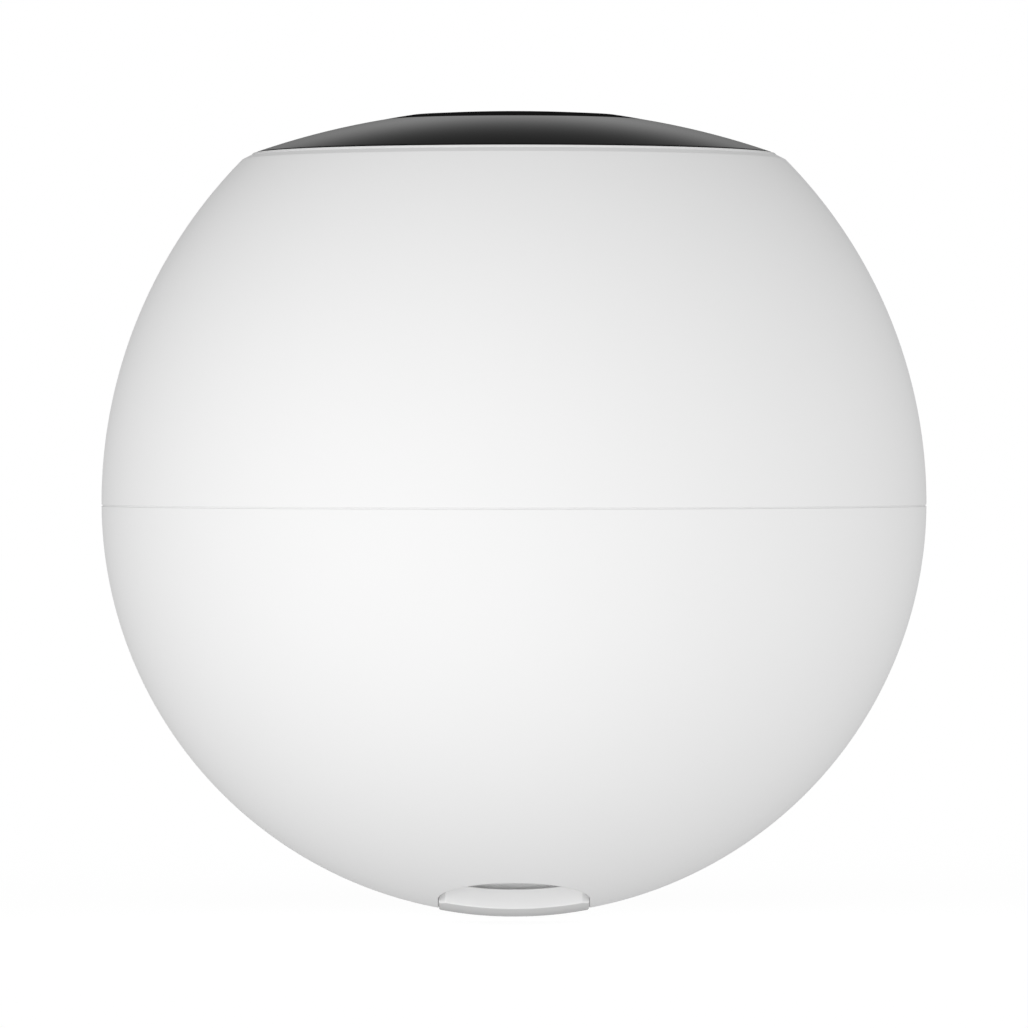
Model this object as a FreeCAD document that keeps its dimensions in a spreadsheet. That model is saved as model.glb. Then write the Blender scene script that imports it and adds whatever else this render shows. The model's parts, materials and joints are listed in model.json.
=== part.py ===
"""A ball-shaped smart speaker, about 100 mm across, as a FreeCAD document of separate pieces.

Frame: +Z is up, the origin is the middle of the foot pad's resting face, and -Y is the side with the cable mouth.
Every length is in millimetres. The driving sizes are in the sheet; the rest follow from them.
"""
import FreeCAD
import Part
import math
import os

import Sketcher

os.makedirs("parts", exist_ok=True)
doc = FreeCAD.newDocument("SmartSpeaker")
sheet = doc.addObject("Spreadsheet::Sheet", "Sizes")
NODES = {}


# ---------------------------------------------------------------- sizes

class Size:
    """A length in millimetres, with the sheet expression that gives it."""

    def __init__(self, value, text):
        self.value = float(value)
        self.text = text

    def __add__(self, other):
        other = size(other)
        return Size(self.value + other.value, f"({self.text} + {other.text})")

    def __sub__(self, other):
        other = size(other)
        return Size(self.value - other.value, f"({self.text} - {other.text})")

    def __mul__(self, other):
        other = size(other)
        return Size(self.value * other.value, f"({self.text} * {other.text})")

    def __truediv__(self, other):
        other = size(other)
        return Size(self.value / other.value, f"({self.text} / {other.text})")

    def __radd__(self, other):
        return size(other) + self

    def __rsub__(self, other):
        return size(other) - self

    def __rmul__(self, other):
        return size(other) * self

    def __neg__(self):
        return size(0) - self


def size(number):
    """The number as a Size; one that is a Size already comes back unchanged."""
    if isinstance(number, Size):
        return number
    return Size(number, f"({float(number):.6f})")


def root(number):
    return Size(math.sqrt(number.value), f"sqrt({number.text})")


def driving(alias, value):
    """Puts a driving size in the sheet's next row."""
    row = driving.row
    driving.row += 1
    sheet.set(f"A{row}", alias)
    sheet.set(f"B{row}", str(value))
    sheet.setAlias(f"B{row}", alias)
    return Size(value, f"Sizes.{alias}")


driving.row = 1


def across(centre_z, radius, z):
    """How far from the axis a sphere's surface is at height z."""
    return root(radius * radius - (z - centre_z) * (z - centre_z))


def below(centre_z, radius, r):
    """Height of a sphere's lower surface at r from the axis."""
    return centre_z - root(radius * radius - r * r)


def above(centre_z, radius, r):
    """Height of a sphere's upper surface at r from the axis."""
    return centre_z + root(radius * radius - r * r)


def arch_radius(half_width, rise):
    """Radius of an arch of that rise over a span of twice half_width."""
    return (half_width * half_width + rise * rise) / (2 * rise)


# ---------------------------------------------------------------- sketches

def sketch_on(body, role, height=0):
    """A sketch on one of the body's own origin planes, raised by height along the plane's normal."""
    plane = next(f for f in body.Origin.OriginFeatures if f.Role == role)
    sketch = body.newObject("Sketcher::SketchObject", f"{body.Name}_sketch")
    sketch.AttachmentSupport = [(plane, "")]
    sketch.MapMode = "FlatFace"
    height = size(height)
    sketch.AttachmentOffset = FreeCAD.Placement(FreeCAD.Vector(0, 0, height.value), FreeCAD.Rotation())
    sketch.setExpression("AttachmentOffset.Base.z", height.text)
    return sketch


def pin_point(sketch, geometry, point, x, y):
    """Ties a point of the sketch to the origin with two distances bound to the sheet."""
    for axis, kind, distance in ((-2, "DistanceX", size(x)), (-1, "DistanceY", size(y))):
        if abs(distance.value) < 1e-9:
            sketch.addConstraint(Sketcher.Constraint("PointOnObject", geometry, point, axis))
        else:
            tie = Sketcher.Constraint(kind, -1, 1, geometry, point, distance.value)
            index = sketch.addConstraint(tie)
            sketch.setExpression(f"Constraints[{index}]", distance.text)


def arc_between(start, end, radius):
    """The short arc from start to end: it bends to the left when radius is positive, else to the right."""
    chord = end - start
    half = chord.Length / 2
    rise = math.sqrt(max(radius * radius - half * half, 0.0))
    left = FreeCAD.Vector(-chord.y, chord.x, 0).normalize()
    centre = start + chord * 0.5 + left * math.copysign(rise, radius)
    first, last = (start, end) if radius > 0 else (end, start)
    a0 = math.atan2(first.y - centre.y, first.x - centre.x)
    a1 = math.atan2(last.y - centre.y, last.x - centre.x)
    if a1 < a0:
        a1 += 2 * math.pi
    circle = Part.Circle(centre, FreeCAD.Vector(0, 0, 1), abs(radius))
    return Part.ArcOfCircle(circle, a0, a1)


def outline(sketch, corners):
    """Draws a closed outline. A third number on a corner is the signed radius of the arc to the next one."""
    spots = [FreeCAD.Vector(size(c[0]).value, size(c[1]).value, 0) for c in corners]
    ends = []
    for i, corner in enumerate(corners):
        start, end = spots[i], spots[(i + 1) % len(spots)]
        if len(corner) == 3:
            radius = size(corner[2])
            index = sketch.addGeometry(arc_between(start, end, radius.value), False)
            ends.append((index, 1, 2) if radius.value > 0 else (index, 2, 1))
            tie = sketch.addConstraint(Sketcher.Constraint("Radius", index, abs(radius.value)))
            sketch.setExpression(f"Constraints[{tie}]", f"abs({radius.text})")
        else:
            index = sketch.addGeometry(Part.LineSegment(start, end), False)
            ends.append((index, 1, 2))
    for i, (index, start, _) in enumerate(ends):
        before, _, end = ends[i - 1]
        sketch.addConstraint(Sketcher.Constraint("Coincident", before, end, index, start))
        pin_point(sketch, index, start, corners[i][0], corners[i][1])


def circle(sketch, x, y, radius):
    """Draws a circle with its centre and radius bound to the sheet."""
    x, y, radius = size(x), size(y), size(radius)
    shape = Part.Circle(FreeCAD.Vector(x.value, y.value, 0), FreeCAD.Vector(0, 0, 1), radius.value)
    index = sketch.addGeometry(shape, False)
    pin_point(sketch, index, 3, x, y)
    tie = sketch.addConstraint(Sketcher.Constraint("Radius", index, radius.value))
    sketch.setExpression(f"Constraints[{tie}]", radius.text)


def rectangle(sketch, x0, x1, y0, y1):
    outline(sketch, [(x0, y0), (x1, y0), (x1, y1), (x0, y1)])


def stadium(half_width, front_y, rear_y):
    """Corners of a slot along Y with round ends whose centres are at front_y and rear_y."""
    return [
        (half_width, front_y),
        (half_width, rear_y, half_width),
        (0, rear_y + half_width, half_width),
        (-half_width, rear_y),
        (-half_width, front_y, half_width),
        (0, front_y - half_width, half_width),
    ]


# ---------------------------------------------------------------- solids

def node(label, thing):
    """Names a finished piece and lists it for export."""
    thing.Label = label
    NODES[label] = thing
    return thing


def turned(name, corners):
    """A body turned about the Z axis from an outline of (distance from axis, height) corners."""
    body = doc.addObject("PartDesign::Body", name)
    sketch = sketch_on(body, "XZ_Plane")
    outline(sketch, corners)
    turn = body.newObject("PartDesign::Revolution", f"{name}_turn")
    turn.Profile = sketch
    turn.ReferenceAxis = (sketch, ["V_Axis"])
    turn.Angle = 360
    return body


def ring(name, inner, outer, low, high):
    """A plain ring, or a disc when inner is 0."""
    return turned(name, [(inner, low), (outer, low), (outer, high), (inner, high)])


def padded(name, low, high, draw, role="XY_Plane"):
    """A body padded from low to high along the plane's normal; draw(sketch) draws its outline."""
    body = doc.addObject("PartDesign::Body", name)
    sketch = sketch_on(body, role, low)
    draw(sketch)
    pad = body.newObject("PartDesign::Pad", f"{name}_pad")
    pad.Profile = sketch
    pad.Length = (size(high) - low).value
    pad.setExpression("Length", (size(high) - low).text)
    return body


def pocket(body, low, high, draw, role="XY_Plane"):
    """Cuts a pocket in the body from low to high along the plane's normal."""
    sketch = sketch_on(body, role, high)
    draw(sketch)
    cut = body.newObject("PartDesign::Pocket", f"{body.Name}_pocket")
    cut.Profile = sketch
    cut.Length = (size(high) - low).value
    cut.setExpression("Length", (size(high) - low).text)
    return cut


def pattern_round(body, feature, count):
    """Repeats a feature round the body's Z axis."""
    turn = body.newObject("PartDesign::PolarPattern", f"{feature.Name}_round")
    turn.Originals = [feature]
    axis = next(f for f in body.Origin.OriginFeatures if f.Role == "Z_Axis")
    turn.Axis = (axis, [""])
    turn.Angle = 360
    turn.Occurrences = count
    body.Tip = turn


def bound(thing, **sizes):
    """Binds properties of a Part primitive to the sheet."""
    for name, length in sizes.items():
        path = name.replace("_", ".")
        length = size(length)
        if "." in path:
            base = thing.Placement.Base
            setattr(base, path[-1], length.value)
            thing.Placement = FreeCAD.Placement(base, thing.Placement.Rotation)
        else:
            setattr(thing, name, length.value)
        thing.setExpression(path, length.text)
    return thing


def block(name, x0, x1, y0, y1, z0, z1):
    thing = doc.addObject("Part::Box", name)
    bound(thing, Length=size(x1) - x0, Width=size(y1) - y0, Height=size(z1) - z0)
    return bound(thing, Placement_Base_x=x0, Placement_Base_y=y0, Placement_Base_z=z0)


def rod(name, radius, low, high, x=0, y=0):
    thing = doc.addObject("Part::Cylinder", name)
    bound(thing, Radius=radius, Height=size(high) - low)
    return bound(thing, Placement_Base_x=x, Placement_Base_y=y, Placement_Base_z=low)


def fused(name, things):
    thing = doc.addObject("Part::MultiFuse", name)
    thing.Shapes = things
    return thing


def gathered(name, things):
    """Several equal small pieces that share one node."""
    thing = doc.addObject("Part::Compound", name)
    thing.Links = things
    return thing


def cut(name, base, tools):
    thing = doc.addObject("Part::Cut", name)
    thing.Base = base
    thing.Tool = tools[0] if len(tools) == 1 else fused(f"{name}_tools", tools)
    return thing


def common(name, first, second):
    thing = doc.addObject("Part::MultiCommon", name)
    thing.Shapes = [first, second]
    return thing


def spread(radius, *degrees):
    """Places on a circle about the Z axis, as (x, y) pairs."""
    turns = [math.radians(a) for a in degrees]
    return [(radius * round(math.cos(a), 6), radius * round(math.sin(a), 6)) for a in turns]


def screws(name, places, seat, length, shank=1.25, head=2.2, thick=1.3, down=True):
    """A set of pan-head screws. The head's underside is at seat and the shank runs down from it, or up."""
    made = []
    sign = -1 if down else 1
    for i, (x, y) in enumerate(places):
        far = seat + sign * length
        near = seat - sign * thick
        low, high = (far, seat) if down else (seat, far)
        body = rod(f"{name}_shank{i}", shank, low, high, x, y)
        low, high = (seat, near) if down else (near, seat)
        cap = rod(f"{name}_head{i}", head, low, high, x, y)
        top = near
        slot_low, slot_high = (top - 0.6, top + 0.1) if down else (top - 0.1, top + 0.6)
        slot = block(f"{name}_slot{i}", x - 0.3, x + 0.3, y - head - 0.1, y + head + 0.1, slot_low, slot_high)
        made.append(cut(f"{name}_screw{i}", fused(f"{name}_solid{i}", [body, cap]), [slot]))
    return node(name, gathered(name, made))


def swept(name, points, section):
    """A section carried along a smooth line through the points, which are (x, y, z) sizes."""
    spots = [FreeCAD.Vector(*(size(v).value for v in p)) for p in points]
    curve = Part.BSplineCurve()
    curve.interpolate(spots)
    path = Part.Wire([curve.toShape()])
    start = curve.tangent(curve.FirstParameter)[0]
    wire = section(spots[0], start)
    return path.makePipeShell([wire], True, False)


def round_section(radius):
    def draw(spot, direction):
        edge = Part.Edge(Part.Circle(spot, direction, size(radius).value))
        return Part.Wire([edge])
    return draw


def flat_section(width, thickness):
    """A strip's section, with its width along Y."""
    def draw(spot, direction):
        wide = FreeCAD.Vector(0, size(width).value / 2, 0)
        thin = direction.cross(FreeCAD.Vector(0, 1, 0)).normalize() * (size(thickness).value / 2)
        corners = [spot - wide - thin, spot + wide - thin, spot + wide + thin, spot - wide + thin]
        return Part.makePolygon(corners + corners[:1])
    return draw


def feature(name, shape):
    thing = doc.addObject("Part::Feature", name)
    thing.Shape = shape
    thing.Placement = FreeCAD.Placement()
    return thing


# ---------------------------------------------------------------- driving sizes

fit_gap = driving("fit_gap", 0.05)
free_gap = driving("free_gap", 0.3)

ball_radius = driving("ball_radius", 50)
foot_proud = driving("foot_proud", 0.11)
wall = driving("wall", 2.2)
seam_height = driving("seam_height", 49.77)
seam_gap = driving("seam_gap", 0.2)
shoulder_radius = driving("shoulder_radius", 59.2)
rim_height = driving("rim_height", 91.64)
opening_radius = driving("opening_radius", 31.95)
opening_height = driving("opening_height", 92.14)

dome_radius = driving("dome_radius", 95.5)
dome_apex = driving("dome_apex", 97.79)
dome_edge_radius = driving("dome_edge_radius", 31.25)
dome_wall = driving("dome_wall", 1.8)
outlet_gap = driving("outlet_gap", 0.2)
trim_top = driving("trim_top", 92.4)

bezel_radius = driving("bezel_radius", 16)
button_radius = driving("button_radius", 12.1)
button_top = driving("button_top", 97.45)
crown_radius = driving("crown_radius", 180)
button_travel = driving("button_travel", 0.5)

mouth_half_width = driving("mouth_half_width", 9.1)
mouth_front = driving("mouth_front", 21.5)
cover_radius = driving("cover_radius", 48)
cover_wall = driving("cover_wall", 2.32)
cover_front = driving("cover_front", 12.1)
cover_front_half_width = driving("cover_front_half_width", 8.2)
cover_rear = driving("cover_rear", 13.96)
pad_radius = driving("pad_radius", 5.5)
pad_flat_radius = driving("pad_flat_radius", 3.5)

baffle_height = driving("baffle_height", 72.4)
baffle_wall = driving("baffle_wall", 2.4)
driver_radius = driving("driver_radius", 24.5)
magnet_radius = driving("magnet_radius", 16)
pole_radius = driving("pole_radius", 7)
board_height = driving("board_height", 24.4)
board_wall = driving("board_wall", 1.2)
control_height = driving("control_height", 89.62)
ballast_top = driving("ballast_top", 19.5)

# ---------------------------------------------------------------- shells

ball_z = ball_radius + foot_proud
inner_radius = ball_radius - wall
seam_low = seam_height - seam_gap / 2
seam_high = seam_height + seam_gap / 2
rebate_radius = inner_radius + 1
rebate_depth = size(3)

board_posts = spread(size(33), 90, 210, 330)
ballast_posts = spread(size(20), 0, 180)

skin = turned("lower_shell_skin", [
    (0, ball_z - ball_radius, ball_radius),
    (across(ball_z, ball_radius, seam_low), seam_low),
    (rebate_radius, seam_low),
    (rebate_radius, seam_low - rebate_depth),
    (across(ball_z, inner_radius, seam_low - rebate_depth), seam_low - rebate_depth, -inner_radius),
    (0, ball_z - inner_radius),
])
posts = [rod(f"board_post{i}", 2.6, 10, board_height, x, y) for i, (x, y) in enumerate(board_posts)]
posts += [rod(f"ballast_post{i}", 2.6, 4, 9, x, y) for i, (x, y) in enumerate(ballast_posts)]
middle_of_wall = doc.addObject("Part::Sphere", "middle_of_wall")
bound(middle_of_wall, Radius=ball_radius - wall / 2, Placement_Base_z=ball_z)
rooted = common("rooted_posts", gathered("shell_posts", posts), middle_of_wall)
mouth_centre = mouth_half_width - mouth_front
mouth_rear = cover_rear + fit_gap - mouth_half_width
mouth = padded("mouth_cutter", -1, 9, lambda s: outline(s, stadium(mouth_half_width, mouth_centre, mouth_rear)))
pilots = [rod(f"board_pilot{i}", 1.3, board_height - 7, board_height + 1, x, y)
          for i, (x, y) in enumerate(board_posts)]
pilots += [rod(f"ballast_pilot{i}", 1.3, 7, 10, x, y) for i, (x, y) in enumerate(ballast_posts)]
node("lower_shell", cut("lower_shell", fused("lower_shell_whole", [skin, rooted]), [mouth] + pilots))

shoulder_reach = shoulder_radius - ball_radius
shoulder_z = ball_z - 0.04


def shoulder(radius, z):
    """How far from the axis the upper shell's outer or inner face is at height z."""
    return across(shoulder_z, radius, z) - shoulder_reach


shoulder_inner = shoulder_radius - wall
opening_low = shoulder_z + root(shoulder_inner * shoulder_inner
                                - (opening_radius + shoulder_reach) * (opening_radius + shoulder_reach))
baffle_screw_places = spread(size(38.2), 30, 150, 270)
upper_skin = turned("upper_shell_skin", [
    (shoulder(shoulder_radius, seam_high), seam_high, shoulder_radius),
    (shoulder(shoulder_radius, rim_height), rim_height),
    (opening_radius, opening_height),
    (opening_radius, opening_low, -shoulder_inner),
    (shoulder(shoulder_inner, seam_high + rebate_depth), seam_high + rebate_depth),
    (rebate_radius, seam_high + rebate_depth),
    (rebate_radius, seam_high),
])
baffle_posts = [rod(f"baffle_post{i}", 3, baffle_height + fit_gap, 79.5, x, y)
                for i, (x, y) in enumerate(baffle_screw_places)]
baffle_pilots = [rod(f"baffle_pilot{i}", 1.3, baffle_height - 1, 78, x, y)
                 for i, (x, y) in enumerate(baffle_screw_places)]
node("upper_shell", cut("upper_shell", fused("upper_shell_whole", [upper_skin] + baffle_posts), baffle_pilots))

seam_band = rebate_radius - fit_gap
seam_face = ball_radius - 0.12
node("seam_ring", turned("seam_ring", [
    (seam_band - 1.6, seam_low - rebate_depth + 0.1),
    (seam_band, seam_low - rebate_depth + 0.1),
    (seam_band, seam_low),
    (seam_face, seam_low),
    (seam_face, seam_high),
    (seam_band, seam_high),
    (seam_band, seam_high + rebate_depth - 0.1),
    (seam_band - 1.6, seam_high + rebate_depth - 0.1),
]))

# ---------------------------------------------------------------- top dome, trim and sound outlet

mesh_top = opening_low + 0.4
trim_inner = dome_edge_radius + outlet_gap
trim_outer = opening_radius - fit_gap
node("trim_ring", turned("trim_ring", [
    (trim_inner, mesh_top + fit_gap),
    (trim_outer, mesh_top + fit_gap),
    (trim_outer, trim_top - 0.25),
    (trim_outer - 0.25, trim_top),
    (trim_inner, trim_top),
]))
node("outlet_mesh", ring("outlet_mesh", 28.6, trim_outer, mesh_top - 0.25, mesh_top))

dome_centre = dome_apex - dome_radius
dome_inner = dome_radius - dome_wall
dome_hole = bezel_radius + fit_gap
dome_low = size(91.07)
dome = turned("top_dome_skin", [
    (dome_hole, above(dome_centre, dome_inner, dome_hole)),
    (dome_hole, above(dome_centre, dome_radius, dome_hole), -dome_radius),
    (dome_edge_radius, above(dome_centre, dome_radius, dome_edge_radius)),
    (dome_edge_radius, dome_low),
    (dome_edge_radius - 1.6, dome_low),
    (dome_edge_radius - 1.6, above(dome_centre, dome_inner, dome_edge_radius - 1.6), dome_inner),
])
dome_places = spread(size(25), 0, 90, 180, 270)
dome_posts = [rod(f"dome_post{i}", 2.4, control_height, dome_low + 2.3, x, y) for i, (x, y) in enumerate(dome_places)]
dome_pilots = [rod(f"dome_pilot{i}", 1.3, control_height - 1, dome_low + 1.7, x, y) for i, (x, y) in enumerate(dome_places)]
node("top_dome", cut("top_dome", fused("top_dome_whole", [dome] + dome_posts), dome_pilots))

# ---------------------------------------------------------------- button and its ring

button_bore = button_radius + free_gap
button_bottom = size(95.37)
flange_radius = button_radius + 1.7
flange_top = size(96.07)
light_guide_top = size(93.97)
bezel_low = light_guide_top + fit_gap
bezel_rise = size(0.07)
node("button_bezel", turned("button_bezel", [
    (button_bore, flange_top + fit_gap),
    (flange_radius + free_gap, flange_top + fit_gap),
    (flange_radius + free_gap, bezel_low),
    (bezel_radius + 1.4, bezel_low),
    (bezel_radius + 1.4, bezel_low + 0.25),
    (bezel_radius, bezel_low + 0.25),
    (bezel_radius, above(dome_centre, dome_radius, bezel_radius), dome_radius),
    (button_bore, above(dome_centre, dome_radius, button_bore) + bezel_rise),
]))
switch_top = control_height + board_wall + 1.9
plunger_top = switch_top + 0.75
crown_centre = button_top - crown_radius
edge_round = size(0.3)
crown_edge = button_radius - edge_round
crown_edge_z = above(crown_centre, crown_radius, crown_edge)
node("touch_button", turned("touch_button", [
    (0, plunger_top),
    (2, plunger_top),
    (2, button_bottom),
    (flange_radius, button_bottom),
    (flange_radius, flange_top),
    (button_radius, flange_top),
    (button_radius, crown_edge_z - edge_round, edge_round),
    (crown_edge, crown_edge_z, crown_radius),
    (0, button_top),
]))
plunger_radius = size(1.45)
plunger_low = switch_top - 1.15
node("switch_plunger", ring("switch_plunger", 0, plunger_radius, plunger_low, plunger_top))
switch_bottom = control_height + board_wall
switch_body = padded("tact_switch_body", switch_bottom, switch_top, lambda s: rectangle(s, -3, 3, -3, 3))
pocket(switch_body, plunger_low - button_travel - fit_gap, switch_top,
       lambda s: circle(s, 0, 0, plunger_radius + fit_gap))
node("tact_switch", switch_body)

spring_wire = size(0.25)
spring_low = switch_bottom + spring_wire + fit_gap
spring_high = button_bottom - spring_wire - fit_gap
spring_radius = size(5)
coil_turns = 3
coil = Part.makeHelix(((spring_high - spring_low) / coil_turns).value, (spring_high - spring_low).value,
                      spring_radius.value)
coil.translate(FreeCAD.Vector(0, 0, spring_low.value))
coil_start = FreeCAD.Vector(spring_radius.value, 0, spring_low.value)
coil_wire = Part.Wire([Part.Edge(Part.Circle(coil_start, FreeCAD.Vector(0, 1, 0), spring_wire.value))])
node("button_spring", feature("button_spring", Part.Wire(coil.Edges).makePipeShell([coil_wire], True, True)))

# ---------------------------------------------------------------- control board and its frame

ring_low = control_height - 2.05
ring_high = control_height - fit_gap
leg_places = spread(size(27.4), 45, 135, 225, 315)
control_places = spread(size(19), 0, 120, 240)
frame_parts = [rod(f"frame_leg{i}", 2.2, baffle_height, ring_low, x, y) for i, (x, y) in enumerate(leg_places)]
frame_parts.append(ring("frame_ring", 17, 30, ring_low, ring_high))
frame_holes = [rod(f"frame_bore{i}", 1.45, ring_low - 1, ring_high + 1, x, y)
               for i, (x, y) in enumerate(dome_places)]
frame_holes += [rod(f"frame_pilot{i}", 1.3, baffle_height - 1, baffle_height + 7, x, y)
                for i, (x, y) in enumerate(leg_places)]
frame_holes += [rod(f"frame_small{i}", 0.95, ring_low - 1, ring_high + 1, x, y)
                for i, (x, y) in enumerate(control_places)]
node("top_frame", cut("top_frame", fused("top_frame_whole", frame_parts), frame_holes))
screws("dome_screws", dome_places, ring_low, 5, down=False)

control = padded("control_plate", control_height, switch_bottom, lambda s: circle(s, 0, 0, 21.5))
pocket(control, control_height, switch_bottom, lambda s: [circle(s, x, y, 1) for x, y in control_places])
node("control_board", control)
screws("control_screws", control_places, switch_bottom, 2.6, shank=0.9, head=1.7, thick=0.9)


def chip(name, x, y, length, width, low, high):
    """A small rectangular component centred at x, y."""
    return block(name, x - length / 2, x + length / 2, y - width / 2, y + width / 2, low, high)


microphones = [chip(f"microphone{i}", x, y, 3.5, 2.7, switch_bottom, switch_bottom + 1)
               for i, (x, y) in enumerate(spread(size(11), 45, 135, 225, 315))]
node("microphones", gathered("microphones", microphones))
led_high = switch_bottom + 0.7
leds = [chip(f"led{i}", x, y, 1.6, 1.6, switch_bottom, led_high)
        for i, (x, y) in enumerate(spread(size(16), 30, 90, 150, 210, 270, 330))]
node("status_leds", gathered("status_leds", leds))
node("light_guide", ring("light_guide", 15.3, 16.9, led_high + 0.1, light_guide_top))

# ---------------------------------------------------------------- baffle and loudspeaker

baffle_low = baffle_height - baffle_wall
basket_places = spread(size(22.3), 45, 135, 225, 315)
baffle_skin = turned("baffle_skin", [
    (20, baffle_low),
    (41.3, baffle_low),
    (41.3, baffle_low - 3),
    (42.8, baffle_low - 3),
    (42.8, baffle_height),
    (20, baffle_height),
])
pocket(baffle_skin, baffle_low, baffle_height, lambda s: [circle(s, x, y, 1.45) for x, y in baffle_screw_places])
pocket(baffle_skin, baffle_low, baffle_height, lambda s: [circle(s, x, y, 1.45) for x, y in leg_places])
pocket(baffle_skin, baffle_low, baffle_height, lambda s: [circle(s, x, y, 1.3) for x, y in basket_places])
pocket(baffle_skin, baffle_low, baffle_height, lambda s: rectangle(s, 32.5, 36.5, -4, 4))
node("baffle", baffle_skin)
screws("baffle_screws", baffle_screw_places, baffle_low, 7, down=False)
screws("frame_screws", leg_places, baffle_low, 8, down=False)

gasket_high = baffle_height + 0.6
flange_high = gasket_high + 1.2
gasket = ring("gasket", 20.3, driver_radius, baffle_height, gasket_high)
pocket(gasket, baffle_height, gasket_high, lambda s: [circle(s, x, y, 1.4) for x, y in basket_places])
node("driver_gasket", gasket)

motor_top = gasket_high - 12
spider_seat = motor_top + 1.2
basket = turned("basket", [
    (11.4, motor_top),
    (magnet_radius + 0.2, motor_top),
    (19.7, gasket_high),
    (driver_radius, gasket_high),
    (driver_radius, flange_high),
    (19, flange_high),
    (15, spider_seat),
    (11.4, spider_seat),
])
pocket(basket, gasket_high, flange_high, lambda s: [circle(s, x, y, 1.3) for x, y in basket_places])
window = pocket(basket, -5, 5, lambda s: rectangle(s, 14, 20, spider_seat + 1.8, gasket_high - 1.5), "XZ_Plane")
pattern_round(basket, window, 4)
node("driver_basket", basket)
screws("driver_screws", basket_places, flange_high, 4, head=1.6, thick=1)

plate_low = motor_top - 3
magnet_low = plate_low - 5.4
yoke_low = magnet_low - 3
node("driver_top_plate", ring("driver_top_plate", 8.2, magnet_radius, plate_low, motor_top))
node("driver_magnet", ring("driver_magnet", 9.6, magnet_radius, magnet_low, plate_low))
node("driver_yoke", turned("driver_yoke", [
    (0, yoke_low),
    (magnet_radius, yoke_low),
    (magnet_radius, magnet_low),
    (pole_radius, magnet_low),
    (pole_radius, motor_top + 0.3),
    (0, motor_top + 0.3),
]))

former_inner = pole_radius + 0.35
former_outer = former_inner + 0.2
coil_outer = former_inner + 0.55
cone_low = spider_seat + 3
lip_radius = size(17)
node("voice_coil", turned("voice_coil", [
    (former_inner, plate_low - 1.2),
    (former_outer, plate_low - 1.2),
    (former_outer, plate_low - 0.4),
    (coil_outer, plate_low - 0.4),
    (coil_outer, motor_top + 0.4),
    (former_outer, motor_top + 0.4),
    (former_outer, cone_low + 0.8),
    (former_inner, cone_low + 0.8),
]))
cone_inner = former_outer + fit_gap
node("cone", turned("cone", [
    (cone_inner, cone_low),
    (lip_radius - 1, flange_high - 0.5),
    (lip_radius, flange_high - 0.5),
    (lip_radius, flange_high),
    (lip_radius - 1.2, flange_high),
    (cone_inner, cone_low + 0.8),
]))
cap_radius = size(8.5)
cap_low = cone_low + 1.85
cap_rise = size(2.3)
cap_skin = size(0.4)

node("dust_cap", turned("dust_cap", [
    (cap_radius - cap_skin, cap_low),
    (cap_radius, cap_low, arch_radius(cap_radius, cap_rise)),
    (0, cap_low + cap_rise),
    (0, cap_low + cap_rise - cap_skin, -arch_radius(cap_radius - cap_skin, cap_rise - cap_skin)),
]))
node("driver_surround", turned("driver_surround", [
    (lip_radius - 1, flange_high),
    (lip_radius + 0.3, flange_high, -1.25),
    (lip_radius + 2.7, flange_high),
    (lip_radius + 3.6, flange_high),
    (lip_radius + 3.6, flange_high + 0.35),
    (lip_radius + 3, flange_high + 0.35, 1.75),
    (lip_radius, flange_high + 0.35),
    (lip_radius - 1, flange_high + 0.35),
]))
node("driver_spider", turned("driver_spider", [
    (former_outer + 0.07, spider_seat + 0.8),
    (8.6, spider_seat + 0.8),
    (9.5, spider_seat + 0.1),
    (10.4, spider_seat + 0.8),
    (11.3, spider_seat),
    (14.6, spider_seat),
    (14.6, spider_seat + 0.3),
    (11.4, spider_seat + 0.3),
    (10.4, spider_seat + 1.15),
    (9.5, spider_seat + 0.45),
    (8.7, spider_seat + 1.1),
    (former_outer + 0.07, spider_seat + 1.1),
]))

# ---------------------------------------------------------------- main board

board_top = board_height + board_wall
board = padded("main_plate", board_height, board_top, lambda s: circle(s, 0, 0, 36.5))
pocket(board, board_height, board_top, lambda s: [circle(s, x, y, 1.45) for x, y in board_posts])
node("main_board", board)
screws("board_screws", board_posts, board_top, 7)

can_top = board_top + 2.4
can = cut("shield_shell", chip("can_outside", -9, 12, 18, 16, board_top, can_top),
          [chip("can_inside", -9, 12, 17.4, 15.4, board_top - 1, can_top - 0.3)])
node("shield_can", can)
sink_low = can_top + 0.1
sink_left = size(-17.2)
sink_base = sink_low + 1.2
sink_high = sink_low + 5
fin_count = 7
fin_pitch = size(2.6)
fin_wall = size(0.8)


def comb(sketch):
    """A base with upright fins, seen along Y."""
    right = sink_left + (fin_count - 1) * fin_pitch + fin_wall
    corners = [(sink_left, sink_low), (right, sink_low), (right, sink_high)]
    for i in reversed(range(1, fin_count)):
        near = sink_left + i * fin_pitch
        far = near - fin_pitch + fin_wall
        corners += [(near, sink_high), (near, sink_base), (far, sink_base), (far, sink_high)]
    corners.append((sink_left, sink_high))
    outline(sketch, corners)


node("heat_sink", padded("heat_sink", -19, -5, comb, "XZ_Plane"))
capacitors = [rod(f"capacitor{i}", 3.2, board_top, board_top + 9, x, y)
              for i, (x, y) in enumerate([(16, -10), (16, -2), (9, -15)])]
node("capacitors", gathered("capacitors", capacitors))
chips = [chip(f"chip{i}", x, y, length, width, board_top, board_top + 1)
         for i, (x, y, length, width) in enumerate([(-12, -8, 7, 7), (0, -5, 5, 5), (12, 12, 6, 4)])]
node("chips", gathered("chips", chips))
plugs = [
    chip("ribbon_plug", 27, 0, 5, 8, board_top, board_top + 2.2),
    chip("speaker_plug", -27, 0, 5, 7, board_top, board_top + 2.2),
    chip("power_plug", 19, -20, 5, 6, board_height - 2.2, board_height),
]
node("board_connectors", gathered("board_connectors", plugs))


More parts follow.
